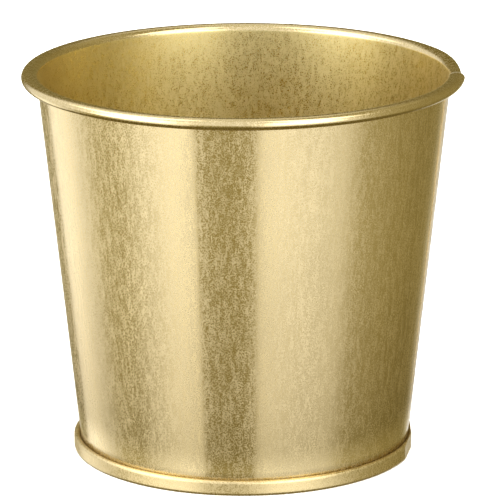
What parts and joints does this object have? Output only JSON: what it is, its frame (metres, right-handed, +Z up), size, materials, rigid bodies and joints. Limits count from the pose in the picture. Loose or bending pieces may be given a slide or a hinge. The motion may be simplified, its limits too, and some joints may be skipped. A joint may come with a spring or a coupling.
{
  "type": "tapered metal pot",
  "caption": "Tapered round sheet-metal pot with an outward-curled rim, a lapped side seam and a flat base that is double-seamed on; open at the top.",
  "frame": {"origin": "middle of the ring that the pot stands on", "axes": "+Z up along the pot's axis, +X through the middle of the flats where the side seam crosses the base seam"},
  "size_m": [0.1016, 0.1018, 0.09],
  "materials": {
    "body_sheet": "satin lacquered, faintly mottled",
    "base_plate": "satin lacquered, faintly mottled",
    "seam_compound": "matte"
  },
  "bodies": {
    "root": {"body_sheet": "body_sheet", "base_plate": "base_plate", "seam_compound": "seam_compound"}
  },
  "joints": []
}
